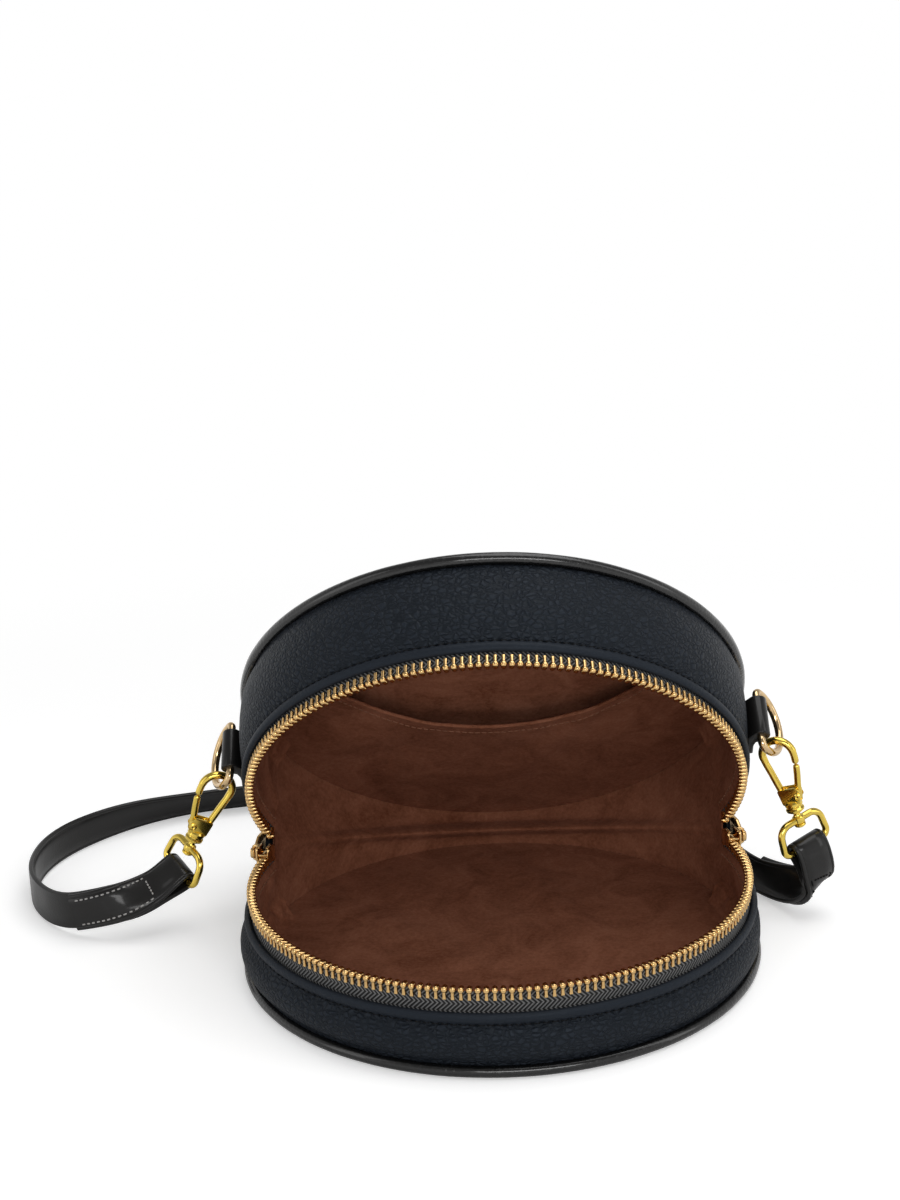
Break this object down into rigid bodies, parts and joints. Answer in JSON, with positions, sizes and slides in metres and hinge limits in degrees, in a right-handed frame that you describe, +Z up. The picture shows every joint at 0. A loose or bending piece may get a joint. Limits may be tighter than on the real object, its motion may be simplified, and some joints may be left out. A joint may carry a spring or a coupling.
{
  "type": "circle bag",
  "caption": "Round clamshell shoulder bag, unzipped and lying open on its front panel, with a clip-on leather strap behind it.",
  "frame": {"origin": "centre of the front panel's outer face, on the floor", "axes": "+Z up; +X to the right and -Y towards the viewer, the way the bag opens"},
  "size_m": [0.3225, 0.2454, 0.1596],
  "materials": {
    "pebbled_leather": "pebbled, semi-matt",
    "piping_leather": "smooth, glossy",
    "strap_leather": "smooth, satin",
    "stiffener": "raw fibre board",
    "lining": "brushed, suede-like",
    "zip_tape": "woven herringbone",
    "zip_metal": "polished",
    "ring_metal": "polished rose gold",
    "clasp_metal": "polished",
    "spring_steel": "drawn wire"
  },
  "bodies": {
    "front_half": {"front_panel": "pebbled_leather", "front_panel_board": "stiffener", "front_panel_lining": "lining", "front_piping": "piping_leather", "front_gusset": "pebbled_leather", "front_gusset_board": "stiffener", "front_gusset_lining": "lining", "front_zip_tape": "zip_tape", "front_zip_teeth": "zip_metal", "front_zip_stops": "zip_metal", "base_gusset": "pebbled_leather", "base_lining": "lining", "shoulder_strap": "strap_leather", "strap_lap_left": "strap_leather", "strap_lap_right": "strap_leather"},
    "back_half": {"back_panel": "pebbled_leather", "back_panel_board": "stiffener", "back_panel_lining": "lining", "back_piping": "piping_leather", "back_gusset": "pebbled_leather", "back_gusset_board": "stiffener", "back_gusset_lining": "lining", "back_zip_tape": "zip_tape", "back_zip_teeth": "zip_metal", "back_zip_stops": "zip_metal", "slip_pocket": "lining", "ring_tab_left": "strap_leather", "ring_tab_right": "strap_leather", "strap_loop_left": "clasp_metal", "strap_loop_right": "clasp_metal"},
    "slider_left": {"slider_left": "zip_metal"},
    "pull_left": {"pull_left": "zip_metal"},
    "ring_left": {"d_ring_left": "ring_metal"},
    "hook_left": {"clasp_hook_left": "clasp_metal", "gate_pin_left": "clasp_metal", "gate_spring_left": "spring_steel"},
    "gate_left": {"clasp_gate_left": "clasp_metal"},
    "slider_right": {"slider_right": "zip_metal"},
    "pull_right": {"pull_right": "zip_metal"},
    "ring_right": {"d_ring_right": "ring_metal"},
    "hook_right": {"clasp_hook_right": "clasp_metal", "gate_pin_right": "clasp_metal", "gate_spring_right": "spring_steel"},
    "gate_right": {"clasp_gate_right": "clasp_metal"}
  },
  "joints": [
    {"name": "opening", "type": "hinge", "parent": "front_half", "child": "back_half", "pos_m": [0, 0.031, 0.033], "axis": [-1, 0, 0], "range_deg": [-50, 6], "deforming": ["base_gusset", "base_lining", "shoulder_strap", "strap_lap_left", "strap_lap_right"]},
    {"name": "zip_run_left", "type": "hinge", "parent": "front_half", "child": "slider_left", "pos_m": [0, 0, 0.033], "axis": [0, 0, 1], "range_deg": [0, 101.13]},
    {"name": "pull_swing_left", "type": "hinge", "parent": "slider_left", "child": "pull_left", "pos_m": [-0.09426, 0.02374, 0.033], "axis": [0, 0, 1], "range_deg": [0, 32]},
    {"name": "ring_swing_left", "type": "hinge", "parent": "back_half", "child": "ring_left", "pos_m": [-0.10058, 0.02771, 0.07347], "axis": [0, 0.766, 0.6428], "range_deg": [-6, 6]},
    {"name": "hook_swivel_left", "type": "hinge", "parent": "back_half", "child": "hook_left", "pos_m": [-0.11805, 0.02867, 0.03696], "axis": [0.4507, -0.0501, 0.8913], "range_deg": [-12, 12]},
    {"name": "gate_press_left", "type": "hinge", "parent": "hook_left", "child": "gate_left", "pos_m": [-0.11764, 0.02739, 0.04409], "axis": [-0.259, 0.9481, 0.1842], "range_deg": [0, 20], "stiffness_Nm_per_rad": 0.03, "springref_deg": -11.46, "deforming": ["gate_spring_left"]},
    {"name": "zip_run_right", "type": "hinge", "parent": "front_half", "child": "slider_right", "pos_m": [0, 0, 0.033], "axis": [0, 0, -1], "range_deg": [0, 101.13]},
    {"name": "pull_swing_right", "type": "hinge", "parent": "slider_right", "child": "pull_right", "pos_m": [0.09426, 0.02374, 0.033], "axis": [0, 0, -1], "range_deg": [0, 32]},
    {"name": "ring_swing_right", "type": "hinge", "parent": "back_half", "child": "ring_right", "pos_m": [0.09979, 0.02091, 0.08159], "axis": [0, 0.766, 0.6428], "range_deg": [-6, 6]},
    {"name": "hook_swivel_right", "type": "hinge", "parent": "back_half", "child": "hook_right", "pos_m": [0.11386, 0.0203, 0.04373], "axis": [-0.29, 0, 0.957], "range_deg": [-12, 12]},
    {"name": "gate_press_right", "type": "hinge", "parent": "hook_right", "child": "gate_right", "pos_m": [0.11458, 0.01912, 0.05084], "axis": [-0.3765, -0.9194, -0.1141], "range_deg": [0, 20], "stiffness_Nm_per_rad": 0.03, "springref_deg": -11.46, "deforming": ["gate_spring_right"]}
  ]
}
